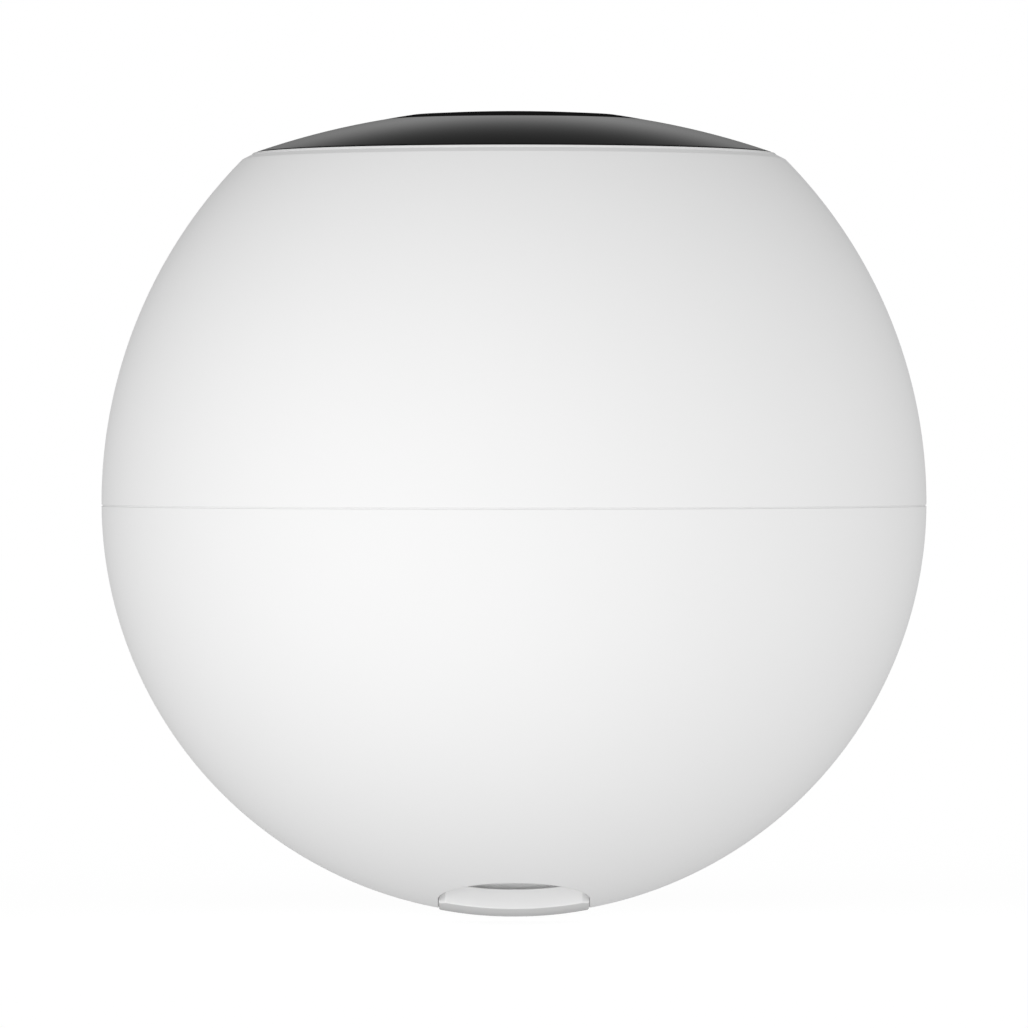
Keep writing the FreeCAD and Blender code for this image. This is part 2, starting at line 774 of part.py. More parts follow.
def antenna_outline(sketch):
    """An inverted F standing on the board's edge."""
    outline(sketch, [
        (-26, board_top), (-24.8, board_top), (-24.8, board_top + 4.4), (-22.2, board_top + 4.4),
        (-22.2, board_top), (-21, board_top), (-21, board_top + 4.4), (-10, board_top + 4.4),
        (-10, board_top + 5.6), (-26, board_top + 5.6),
    ])


node("wifi_antenna", padded("wifi_antenna", 20, 20.3, antenna_outline, "XZ_Plane"))

ribbon_points = [(27, 0, board_top + 2.3), (31.5, 0, 34), (34.5, 0, 50), (34.5, 0, baffle_low - 4),
                 (34.5, 0, baffle_height + 4), (29, 0, 84), (21, 0, 86), (15.5, 0, 87), (14, 0, control_height - 0.2)]
node("ribbon_cable", feature("ribbon_cable", swept("ribbon", ribbon_points, flat_section(6, 0.3))))


def leads(name, points, spacing, radius=0.6):
    """Two parallel round wires, one each side of the line through the points."""
    made = []
    for side in (-1, 1):
        shifted = [(x, y + side * size(spacing) / 2, z) for x, y, z in points]
        made.append(swept(name, shifted, round_section(radius)))
    return node(name, feature(name, Part.makeCompound(made)))


leads("speaker_leads", [(-17.6, 0, motor_top), (-22, 0, motor_top - 1), (-28, 0, 50), (-29, 0, 38),
                        (-27, 0, board_top + 2.3)], 4)

# ---------------------------------------------------------------- cable well and power inlet

cover_inner = cover_radius - cover_wall
cover_z = root(cover_radius * cover_radius - pad_flat_radius * pad_flat_radius)
well_wall = size(1.1)
well_back = size(-10.9)
well_ceiling = size(17.9)
well_high = size(19.45)
jack_y = size(-16.8)


def well_outline(half_width, back):
    """Corners of a D with its round end towards -Y."""
    return [
        (half_width, back),
        (-half_width, back),
        (-half_width, mouth_centre, half_width),
        (0, mouth_centre - half_width, half_width),
        (half_width, mouth_centre),
    ]


def pill(sketch, half_length, half_height):
    """A slot outline along X round the power jack's axis."""
    straight = size(half_length) - half_height
    low, high = jack_y - half_height, jack_y + half_height
    outline(sketch, [
        (straight, low, half_height),
        (straight + half_height, jack_y, half_height),
        (straight, high),
        (-straight, high, half_height),
        (-straight - half_height, jack_y, half_height),
        (-straight, low),
    ])


jack_half_length = size(4.47)
jack_half_height = size(1.63)
jack_screw_places = [(size(6.6), jack_y), (size(-6.6), jack_y)]
well_body = padded("well_body", 2, well_high,
                   lambda s: outline(s, well_outline(mouth_half_width + well_wall, well_back + well_wall)))
pocket(well_body, 0, well_ceiling, lambda s: outline(s, well_outline(mouth_half_width, well_back)))
pocket(well_body, well_ceiling, well_high, lambda s: pill(s, jack_half_length + 0.2, jack_half_height + 0.2))
pocket(well_body, well_ceiling, well_high, lambda s: [circle(s, x, y, 0.95) for x, y in jack_screw_places])
shell_inside = doc.addObject("Part::Sphere", "shell_inside")
bound(shell_inside, Radius=inner_radius - 0.02, Placement_Base_z=ball_z)
above_cover = doc.addObject("Part::Sphere", "above_cover")
bound(above_cover, Radius=cover_inner - fit_gap, Placement_Base_z=cover_z)
skirt = block("well_skirt", -8, 8, well_back, well_back + well_wall, 2, 7)
node("cable_well", fused("cable_well", [
    common("well_inside_shell", well_body, shell_inside),
    common("well_above_cover", skirt, above_cover),
]))

jack_low = size(12)
jack_shell = padded("jack_shell", jack_low, well_high, lambda s: pill(s, jack_half_length, jack_half_height))
pocket(jack_shell, jack_low, well_high,
       lambda s: pill(s, jack_half_length - 0.3, jack_half_height - 0.3))
node("power_jack", jack_shell)
jack_core = padded("jack_core", 17.2, well_high,
                   lambda s: pill(s, jack_half_length - 0.35, jack_half_height - 0.35))
jack_tongue = block("jack_tongue", -3.3, 3.3, jack_y - 0.35, jack_y + 0.35, 13, 17.4)
node("jack_contacts", fused("jack_contacts", [jack_core, jack_tongue]))
jack_board_low = well_high + fit_gap
jack_board = padded("jack_plate", jack_board_low, jack_board_low + 1.2,
                    lambda s: rectangle(s, -8.5, 8.5, jack_y - 4, jack_y + 4))
pocket(jack_board, jack_board_low, jack_board_low + 1.2,
       lambda s: [circle(s, x, y, 1) for x, y in jack_screw_places])
node("jack_board", jack_board)
screws("jack_screws", jack_screw_places, jack_board_low + 1.2, 2.6, shank=0.9, head=1.7, thick=0.8)
leads("power_leads", [(2.5, -18.5, jack_board_low + 1.9), (5, -18.8, 22.5), (8, -19.2, 22.8),
                      (13, -20, 22.9), (16.2, -20, 23.2)], 1.6, 0.5)

# ---------------------------------------------------------------- ballast, base cover and foot

ballast_low = size(5.6)
ballast = turned("ballast", [
    (1.3, ballast_low),
    (15.5, ballast_low),
    (28, 12.5),
    (29, ballast_top),
    (1.3, ballast_top),
])
notch = mouth_half_width + well_wall + 0.6
for side in (-1, 1):
    near, far = (size(-31), size(-9.6)) if side < 0 else (size(9.6), size(31))
    pocket(ballast, ballast_low, ballast_top, lambda s: rectangle(s, -notch, notch, near, far))
pocket(ballast, ballast_low, ballast_top, lambda s: [circle(s, x, y, 1.45) for x, y in ballast_posts])
pocket(ballast, ballast_low - 1, 9.05, lambda s: [circle(s, x, y, 2.9) for x, y in ballast_posts])
node("ballast", ballast)
screws("ballast_screws", ballast_posts, ballast_top, ballast_top - 7.6)

cover_half_width = mouth_half_width - fit_gap
cover_slant_y = size(-11.2)
pad_hole = pad_radius + fit_gap
cover_edge = size(16)
cover = turned("cover", [
    (pad_hole, 1),
    (pad_hole, below(cover_z, cover_radius, pad_hole), cover_radius),
    (cover_edge, below(cover_z, cover_radius, cover_edge)),
    (cover_edge, below(cover_z, cover_inner, cover_edge), -cover_inner),
    (4.5, below(cover_z, cover_inner, 4.5)),
    (4.5, ballast_low - fit_gap),
    (1.45, ballast_low - fit_gap),
    (1.45, 2.6),
    (2.9, 2.6),
    (2.9, 1),
])
cover_rear_centre = cover_rear - cover_half_width


def cover_outline(sketch):
    """Everything outside the cover's plan, out to a circle well clear of it."""
    circle(sketch, 0, 0, 22)
    outline(sketch, [
        (cover_front_half_width, -cover_front),
        (cover_half_width, cover_slant_y),
        (cover_half_width, cover_rear_centre, cover_half_width),
        (0, cover_rear, cover_half_width),
        (-cover_half_width, cover_rear_centre),
        (-cover_half_width, cover_slant_y),
        (-cover_front_half_width, -cover_front),
    ])


trimmed = pocket(cover, -1, 8, cover_outline)
doc.recompute()
lip = [f"Edge{i + 1}" for i, edge in enumerate(trimmed.Shape.Edges)
       if all(abs(v.Y + cover_front.value) < 1e-4 and v.Z < 3 for v in edge.Vertexes)]
chamfer = cover.newObject("PartDesign::Chamfer", "cover_lip")
chamfer.Base = (trimmed, lip)
chamfer.Size = 0.18
node("base_cover", cover)
node("foot_pad", turned("foot_pad", [
    (0, 0),
    (pad_flat_radius, 0, cover_radius),
    (pad_radius, below(cover_z, cover_radius, pad_radius)),
    (pad_radius, 0.95),
    (0, 0.95),
]))
screws("cover_screw", [(size(0), size(0))], size(2.6), 8.2, head=2.7, down=False)

# ---------------------------------------------------------------- check and write

doc.recompute()
failed = [thing.Name for thing in doc.Objects if {"Invalid", "Error"} & set(thing.State)]
failed += [label for label, thing in NODES.items() if thing.Shape.isNull() or not thing.Shape.isValid()]
if failed:
    raise RuntimeError(f"these objects failed: {failed}")
for label, thing in NODES.items():
    thing.Shape.exportStep(f"parts/{label}.step")
print(f"wrote {len(NODES)} nodes")
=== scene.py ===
"""Looks of a ball-shaped smart speaker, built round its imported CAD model.

The outer pieces are rebuilt here with fine, smoothly shaded meshes. The other CAD nodes keep their own
shapes. Sizes are in millimetres, in the CAD model's frame, and become metres when a mesh is made.
"""
import json
import math

import bmesh
import bpy
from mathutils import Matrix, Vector


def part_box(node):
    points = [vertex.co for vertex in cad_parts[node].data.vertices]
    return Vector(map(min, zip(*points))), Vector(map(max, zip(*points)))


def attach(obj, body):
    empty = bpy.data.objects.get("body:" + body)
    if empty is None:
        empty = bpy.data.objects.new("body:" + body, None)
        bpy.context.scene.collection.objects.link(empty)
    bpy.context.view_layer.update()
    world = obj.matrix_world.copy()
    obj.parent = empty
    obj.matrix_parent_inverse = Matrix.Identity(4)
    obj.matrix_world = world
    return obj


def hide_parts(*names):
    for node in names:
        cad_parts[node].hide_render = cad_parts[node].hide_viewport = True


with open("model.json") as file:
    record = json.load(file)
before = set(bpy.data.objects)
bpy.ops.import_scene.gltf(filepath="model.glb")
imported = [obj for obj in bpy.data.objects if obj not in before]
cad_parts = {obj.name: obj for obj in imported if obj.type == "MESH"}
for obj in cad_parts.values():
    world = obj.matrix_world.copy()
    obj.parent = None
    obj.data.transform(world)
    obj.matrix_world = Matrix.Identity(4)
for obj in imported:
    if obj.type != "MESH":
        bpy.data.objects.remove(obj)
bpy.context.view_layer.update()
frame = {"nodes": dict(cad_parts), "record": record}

MM = 0.001
SEGMENTS = 384          # round each turned piece
FIT_GAP = 0.05          # between pieces that fit together
FREE_GAP = 0.3          # round the button, which moves
PILOT_RADIUS = 1.3      # screw pilots in the plastic posts


# ---------------------------------------------------------------- sizes from the frame

def low(node, axis="z"):
    """A CAD node's lowest coordinate along an axis."""
    return getattr(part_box(node)[0], axis) / MM


def high(node, axis="z"):
    """A CAD node's highest coordinate along an axis."""
    return getattr(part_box(node)[1], axis) / MM


BALL_RADIUS = round(high("lower_shell", "x"), 1)
SEAM_LOW = high("lower_shell")
SEAM_HIGH = low("upper_shell")
FOOT_PROUD = 0.11
BALL_Z = BALL_RADIUS + FOOT_PROUD
WALL = 2.2
INNER_RADIUS = BALL_RADIUS - WALL
REBATE_RADIUS = INNER_RADIUS + 1
REBATE_DEPTH = 3
SEAM_EDGE = 0.04

SHOULDER_RADIUS = 59.2
SHOULDER_Z = BALL_Z - 0.04
RIM_SLOPE = 0.5
RIM_HEIGHT = high("upper_shell") - RIM_SLOPE
OPENING_RADIUS = high("trim_ring", "x") + FIT_GAP
OPENING_TOP = high("upper_shell")
OPENING_LOW = low("trim_ring") - 0.45
TRIM_TOP = high("trim_ring")
TRIM_INNER = OPENING_RADIUS - 0.5
TRIM_BEVEL = 0.25

DOME_RADIUS = 95.5
DOME_APEX = 97.79
DOME_WALL = 1.8
DOME_EDGE = high("top_dome", "x")
DOME_POST_LOW = low("top_dome")
DOME_LOW = DOME_POST_LOW + 1.45
BEZEL_FOOT = 1.4
BEZEL_RADIUS = high("button_bezel", "x") - BEZEL_FOOT
BEZEL_LOW = low("button_bezel")
DOME_HOLE = BEZEL_RADIUS + FIT_GAP
BUTTON_TOP = high("touch_button")
BUTTON_FLANGE = high("touch_button", "x")
BUTTON_FLANGE_TOP = 96.07
BUTTON_FLANGE_WIDTH = 1.7
BUTTON_RADIUS = BUTTON_FLANGE - BUTTON_FLANGE_WIDTH
CROWN_RADIUS = 180

MOUTH_HALF_WIDTH = 9.1
MOUTH_FRONT_CENTRE = -12.4
COVER_RADIUS = 48
COVER_WALL = 2.32
COVER_FRONT = low("base_cover", "y")
COVER_REAR = high("base_cover", "y")
COVER_HALF_WIDTH = high("base_cover", "x")
COVER_FRONT_HALF_WIDTH = 8.2
COVER_SLANT = -11.2
MOUTH_REAR_CENTRE = COVER_REAR + FIT_GAP - MOUTH_HALF_WIDTH
PAD_RADIUS = high("foot_pad", "x")
PAD_FLAT_RADIUS = 3.5
COVER_Z = math.sqrt(COVER_RADIUS ** 2 - PAD_FLAT_RADIUS ** 2)


# ---------------------------------------------------------------- outlines

def drop(radius, reach):
    """How far a sphere's surface is from the height of its centre, at that reach from its axis."""
    return math.sqrt(radius * radius - reach * reach)


def stepped(start, end, steps):
    """Evenly spaced numbers from start to end."""
    return [start + (end - start) * i / steps for i in range(steps + 1)]


def arc(centre, radius, start, end, steps):
    """Points of an arc in a plane, about the centre from one angle to another, in radians."""
    return [
        (centre[0] + radius * math.cos(t), centre[1] + radius * math.sin(t))
        for t in stepped(start, end, steps)
    ]


def sphere_arc(centre_z, radius, from_z, to_z, steps, centre_r=0.0):
    """Points (distance from the axis, height) along a sphere's outline between two heights."""
    start = math.asin(max(-1.0, min(1.0, (from_z - centre_z) / radius)))
    end = math.asin(max(-1.0, min(1.0, (to_z - centre_z) / radius)))
    return arc((centre_r, centre_z), radius, start, end, steps)


def rounded(corners, steps=6):
    """The closed outline with an arc at each corner that has a third number, the arc's radius."""
    points = []
    for i, corner in enumerate(corners):
        if len(corner) == 2:
            points.append(tuple(corner))
            continue
        here = Vector(corner[:2])
        back = (Vector(corners[i - 1][:2]) - here).normalized()
        on = (Vector(corners[(i + 1) % len(corners)][:2]) - here).normalized()
        half = back.angle(on) / 2
        start = here + back * (corner[2] / math.tan(half))
        end = here + on * (corner[2] / math.tan(half))
        centre = here + (back + on).normalized() * (corner[2] / math.sin(half))
        for step in range(steps + 1):
            share = step / steps
            way = (start - centre) * (1 - share) + (end - centre) * share
            points.append(tuple(centre + way.normalized() * corner[2]))
    return points


def finely(points, longest):
    """The closed outline with its long runs divided."""
    made = []
    for i, point in enumerate(points):
        here, after = Vector(point), Vector(points[(i + 1) % len(points)])
        count = max(1, math.ceil((after - here).length / longest))
        made += [tuple(here.lerp(after, k / count)) for k in range(count)]
    return made


# ---------------------------------------------------------------- meshes

def skinned(name, rings, closed, extras=()):
    """A smooth mesh through rings of points. A ring of one point is a pole. Closed joins last to first."""
    mesh_data = bmesh.new()
    made = [[mesh_data.verts.new(Vector(p) * MM) for p in ring] for ring in rings]
    pairs = list(zip(made, made[1:]))
    if closed:
        pairs.append((made[-1], made[0]))
    for first, second in pairs:
        count = max(len(first), len(second))
        for i in range(count):
            j = (i + 1) % count
            corners = [
                first[i % len(first)],
                first[j % len(first)],
                second[j % len(second)],
                second[i % len(second)],
            ]
            unique = list(dict.fromkeys(corners))
            if len(unique) > 2:
                mesh_data.faces.new(unique)
    for extra in extras:
        extra(mesh_data)
    bmesh.ops.recalc_face_normals(mesh_data, faces=mesh_data.faces)
    mesh = bpy.data.meshes.new(name)
    mesh_data.to_mesh(mesh)
    mesh_data.free()
    mesh.shade_smooth()
    mesh.set_sharp_from_angle(angle=math.radians(38))
    piece = bpy.data.objects.new(name, mesh)
    bpy.context.scene.collection.objects.link(piece)
    weighted = piece.modifiers.new("even_shading", "WEIGHTED_NORMAL")
    weighted.keep_sharp = True
    weighted.weight = 80
    return piece


def turned_rings(profile):
    """Rings round the Z axis through a profile of (distance from the axis, height)."""
    turns = [2 * math.pi * i / SEGMENTS for i in range(SEGMENTS)]
    return [
        [(0, 0, z)] if r < 1e-6 else [(r * math.cos(t), r * math.sin(t), z) for t in turns]
        for r, z in profile
    ]


def turned(name, profile, extras=()):
    """A solid of revolution; a profile that starts and ends on the axis is closed by it."""
    return skinned(name, turned_rings(profile), profile[0][0] > 1e-6, extras)


def post(x, y, end, root, radius, bore, depth):
    """A screw post with a blind bore in its free end, for skinned's extras.

    It grows from the wall whose height at a reach from the axis is root(reach).
    """
    sides = 40

    def add(mesh_data):
        floor = end + math.copysign(depth, root(math.hypot(x, y)) - end)
        turns = [2 * math.pi * i / sides for i in range(sides)]

        def loop(r, z=None):
            spots = [(x + r * math.cos(t), y + r * math.sin(t)) for t in turns]
            heights = [root(math.hypot(*spot)) if z is None else z for spot in spots]
            return [mesh_data.verts.new(Vector((*spot, h)) * MM) for spot, h in zip(spots, heights)]

        rings = [loop(radius), loop(radius, end), loop(bore, end), loop(bore, floor)]
        for first, second in zip(rings, rings[1:]):
            for i in range(sides):
                mesh_data.faces.new([first[i - 1], first[i], second[i], second[i - 1]])
        mesh_data.faces.new(rings[0])
        mesh_data.faces.new(rings[-1])
    return add


def spread(radius, *degrees):
    """Spots at that distance from the axis, at the given angles."""
    return [(radius * math.cos(math.radians(a)), radius * math.sin(math.radians(a))) for a in degrees]


# ---------------------------------------------------------------- shells

def upper_shell():
    """The white upper shell, from the seam to the rim of the opening."""
    reach = SHOULDER_RADIUS - BALL_RADIUS
    inner = SHOULDER_RADIUS - WALL
    outer_arc = sphere_arc(SHOULDER_Z, SHOULDER_RADIUS, SEAM_HIGH, RIM_HEIGHT, 56, -reach)
    inner_arc = sphere_arc(SHOULDER_Z, inner, OPENING_LOW, SEAM_HIGH + REBATE_DEPTH, 40, -reach)
    profile = rounded([
        (*outer_arc[0], SEAM_EDGE),
        *outer_arc[1:-1],
        (*outer_arc[-1], 0.45),
        (OPENING_RADIUS, OPENING_TOP, 0.06),
        *inner_arc,
        (REBATE_RADIUS, SEAM_HIGH + REBATE_DEPTH),
        (REBATE_RADIUS, SEAM_HIGH),
    ])
    middle = SHOULDER_RADIUS - WALL / 2
    posts = [
        post(x, y, end=72.45, root=lambda r: SHOULDER_Z + drop(middle, r + reach),
             radius=3, bore=PILOT_RADIUS, depth=5.5)
        for x, y in spread(38.2, 30, 150, 270)
    ]
    return turned("upper_shell_skin", profile, posts)


def mouth_ring(outset, height):
    """Points of the mouth's outline, moved outwards by outset; height(x, y) gives each one's z."""
    half_width = MOUTH_HALF_WIDTH + outset
    middle = (MOUTH_FRONT_CENTRE + MOUTH_REAR_CENTRE) / 2
    straight = (MOUTH_REAR_CENTRE - MOUTH_FRONT_CENTRE) / 2
    points = []
    for i in range(SEGMENTS):
        turn = 2 * math.pi * i / SEGMENTS
        c, s = math.cos(turn), math.sin(turn)
        reach = half_width / max(abs(c), 1e-9)
        if reach * abs(s) > straight:
            reach = straight * abs(s) + math.sqrt(half_width ** 2 - (straight * c) ** 2)
        x, y = reach * c, middle + reach * s
        points.append((x, y, height(x, y)))
    return points


def between(first, second, share, height):
    """A ring part of the way from one ring to another, laid on a surface."""
    points = []
    for a, b in zip(first, second):
        x, y = a[0] + (b[0] - a[0]) * share, a[1] + (b[1] - a[1]) * share
        points.append((x, y, height(x, y)))
    return points


def bent_edge(start, corner, end, steps=5):
    """Rings that turn a corner smoothly from the start ring to the end ring."""
    rings = []
    for step in range(1, steps):
        t = step / steps
        rings.append([
            tuple(Vector(a) * (1 - t) ** 2 + Vector(b) * 2 * t * (1 - t) + Vector(c) * t * t)
            for a, b, c in zip(start, corner, end)
        ])
    return rings


def lower_shell():
    """The white lower shell, with the cable mouth cut through its underside."""
    def outside(x, y):
        return BALL_Z - drop(BALL_RADIUS, math.hypot(x, y))

    def inside(x, y):
        return BALL_Z - drop(INNER_RADIUS, math.hypot(x, y))

    outer_reach = 32
    inner_reach = 30
    edge = 0.16
    outer_steps = 24
    inner_steps = 12
    outer_arc = sphere_arc(BALL_Z, BALL_RADIUS, SEAM_LOW, outside(outer_reach, 0), 50)
    inner_arc = sphere_arc(BALL_Z, INNER_RADIUS, inside(inner_reach, 0), SEAM_LOW - REBATE_DEPTH, 40)
    profile = rounded([
        (REBATE_RADIUS, SEAM_LOW),
        (*outer_arc[0], SEAM_EDGE),
        *outer_arc[1:],
    ])
    rings = turned_rings(profile)
    circle = rings[-1]
    lip = mouth_ring(edge, outside)
    rings += [between(circle, lip, i / outer_steps, outside) for i in range(1, outer_steps + 1)]
    corner = mouth_ring(0, outside)
    wall_low = mouth_ring(0, lambda x, y: outside(x, y) + edge)
    rings += bent_edge(lip, corner, wall_low) + [wall_low]
    wall_high = mouth_ring(0, inside)
    rings.append(wall_high)
    circle = turned_rings(inner_arc[:1])[0]
    rings += [between(wall_high, circle, i / inner_steps, inside) for i in range(1, inner_steps)]
    rings += turned_rings(inner_arc + [(REBATE_RADIUS, SEAM_LOW - REBATE_DEPTH)])

    def middle(reach):
        return BALL_Z - drop(BALL_RADIUS - WALL / 2, reach)

    board_posts = [
        post(x, y, end=24.4, root=middle, radius=2.6, bore=PILOT_RADIUS, depth=7)
        for x, y in spread(33, 90, 210, 330)
    ]
    ballast_posts = [
        post(x, y, end=9, root=middle, radius=2.6, bore=PILOT_RADIUS, depth=2)
        for x, y in spread(20, 0, 180)
    ]
    return skinned("lower_shell_skin", rings, True, board_posts + ballast_posts)


# ---------------------------------------------------------------- top

def dome_surface(radius, reach):
    """Height of a sphere about the dome's centre, at that reach from the axis."""
    return DOME_APEX - DOME_RADIUS + drop(radius, reach)


def top_dome():
    """The dark dome round the button, down to its edge in the sound slot."""
    inner_radius = DOME_RADIUS - DOME_WALL
    skirt = DOME_EDGE - 1.6
    top = [(r, dome_surface(DOME_RADIUS, r)) for r in stepped(DOME_HOLE, DOME_EDGE, 30)]
    under = [(r, dome_surface(inner_radius, r)) for r in stepped(skirt, DOME_HOLE, 12)]
    profile = rounded([
        *top[:-1],
        (*top[-1], 0.04),
        (DOME_EDGE, DOME_LOW),
        (skirt, DOME_LOW),
        *under,
    ])
    posts = [
        post(x, y, end=DOME_POST_LOW, root=lambda r: dome_surface(DOME_RADIUS - DOME_WALL / 2, r),
             radius=2.4, bore=PILOT_RADIUS, depth=3.1)
        for x, y in spread(25, 0, 90, 180, 270)
    ]
    return turned("top_dome_skin", profile, posts)


def button_bezel():
    """The black ring round the button: flush with the dome outside, a hair proud of it inside."""
    bore = BUTTON_RADIUS + FREE_GAP
    recess = BUTTON_FLANGE + FREE_GAP
    ledge = BUTTON_FLANGE_TOP + FIT_GAP
    foot_height = 0.25
    rise = 0.07
    steps = 12
    reach = stepped(BEZEL_RADIUS, bore, steps)
    top = [(r, dome_surface(DOME_RADIUS, r) + rise * i / steps) for i, r in enumerate(reach)]
    profile = rounded([
        (bore, ledge),
        (recess, ledge),
        (recess, BEZEL_LOW),
        (BEZEL_RADIUS + BEZEL_FOOT, BEZEL_LOW),
        (BEZEL_RADIUS + BEZEL_FOOT, BEZEL_LOW + foot_height),
        (BEZEL_RADIUS, BEZEL_LOW + foot_height),
        (*top[0], 0.03),
        *top[1:-1],
        (*top[-1], 0.12),
    ])
    return turned("button_bezel_ring", profile)


def touch_button():
    """The dark press button: a very slightly crowned disc with a flange under the bezel."""
    edge_round = 0.3
    flange_low = BUTTON_FLANGE_TOP - 0.7
    stem = 2
    edge = BUTTON_RADIUS - edge_round
    crown_z = BUTTON_TOP - CROWN_RADIUS
    crown = [(r, crown_z + drop(CROWN_RADIUS, r)) for r in (edge * (1 - i / 20) for i in range(21))]
    corner = arc((edge, crown[0][1] - edge_round), edge_round, 0, math.pi / 2, 8)
    profile = rounded([
        (0, low("touch_button")),
        (stem, low("touch_button")),
        (stem, flange_low),
        (BUTTON_FLANGE, flange_low, 0.1),
        (BUTTON_FLANGE, BUTTON_FLANGE_TOP, 0.1),
        (BUTTON_RADIUS, BUTTON_FLANGE_TOP),
        *corner[:-1],
        *crown,
    ])
    return turned("touch_button_cap", profile)


def trim_ring():
    """The thin white lip round the sound slot."""
    outer = OPENING_RADIUS - FIT_GAP
    return turned("trim_lip", rounded([
        (TRIM_INNER, low("trim_ring")),
        (outer, low("trim_ring")),
        (outer, TRIM_TOP - TRIM_BEVEL, 0.05),
        (outer - TRIM_BEVEL, TRIM_TOP, 0.05),
        (TRIM_INNER, TRIM_TOP, 0.03),
    ]))


# ---------------------------------------------------------------- underside

def base_cover():
    """The curved white tab that closes the rear of the mouth and carries the foot."""
    rear = COVER_REAR - COVER_HALF_WIDTH
    end = arc((0, rear), COVER_HALF_WIDTH, 0, math.pi, 48)
    outline = finely(rounded([
        (-COVER_FRONT_HALF_WIDTH, COVER_FRONT, 0.3),
        (COVER_FRONT_HALF_WIDTH, COVER_FRONT, 0.3),
        (COVER_HALF_WIDTH, COVER_SLANT),
        *end,
        (-COVER_HALF_WIDTH, COVER_SLANT),
    ]), 0.35)
    turns = [math.atan2(y, x) for x, y in outline]

    def underneath(x, y):
        return COVER_Z - drop(COVER_RADIUS, math.hypot(x, y))

    def upper(x, y):
        return COVER_Z - drop(COVER_RADIUS - COVER_WALL, math.hypot(x, y))

    def laid(points, height):
        return [(x, y, height(x, y)) for x, y in points]

    def round_ring(radius, z):
        return [(radius * math.cos(t), radius * math.sin(t), z) for t in turns]

    def inset(distance):
        moved = []
        for i, (x, y) in enumerate(outline):
            way = Vector(outline[(i + 1) % len(outline)]) - Vector(outline[i - 1])
            side = Vector((-way.y, way.x)).normalized()
            moved.append((x + side.x * distance, y + side.y * distance))
        return moved

    lip = 0.18
    pad_seat = 1
    boss_radius = 4.5
    boss_top = 5.55
    screw_radius = 1.45
    head_radius = 2.9
    head_seat = 2.6
    hole = PAD_RADIUS + FIT_GAP
    hole_ring = round_ring(hole, underneath(hole, 0))
    low_edge = laid(inset(lip), underneath)
    corner = laid(outline, underneath)
    wall_low = laid(outline, lambda x, y: underneath(x, y) + lip)
    wall_high = laid(outline, lambda x, y: upper(x, y) - 0.1)
    high_edge = laid(inset(0.1), upper)
    rings = [round_ring(hole, pad_seat), hole_ring]
    rings += [between(hole_ring, low_edge, i / 16, underneath) for i in range(1, 16)]
    rings += [low_edge] + bent_edge(low_edge, corner, wall_low) + [wall_low, wall_high, high_edge]
    boss = round_ring(boss_radius, upper(boss_radius, 0))
    rings += [between(high_edge, boss, i / 10, upper) for i in range(1, 10)]
    rings += [
        boss,
        round_ring(boss_radius, boss_top),
        round_ring(screw_radius, boss_top),
        round_ring(screw_radius, head_seat),
        round_ring(head_radius, head_seat),
        round_ring(head_radius, pad_seat),
    ]
    return skinned("base_cover_tab", rings, True)


def foot_pad():
    """The soft foot: a small flat face whose rim carries on the tab's curve."""
    top = 0.95
    skirt = [(r, COVER_Z - drop(COVER_RADIUS, r)) for r in stepped(PAD_FLAT_RADIUS, PAD_RADIUS, 12)]
    return turned("foot_pad_disc", rounded([
        (0, 0),
        *skirt[:-1],
        (*skirt[-1], 0.03),
        (PAD_RADIUS, top),
        (0, top),
    ]))


# ---------------------------------------------------------------- materials

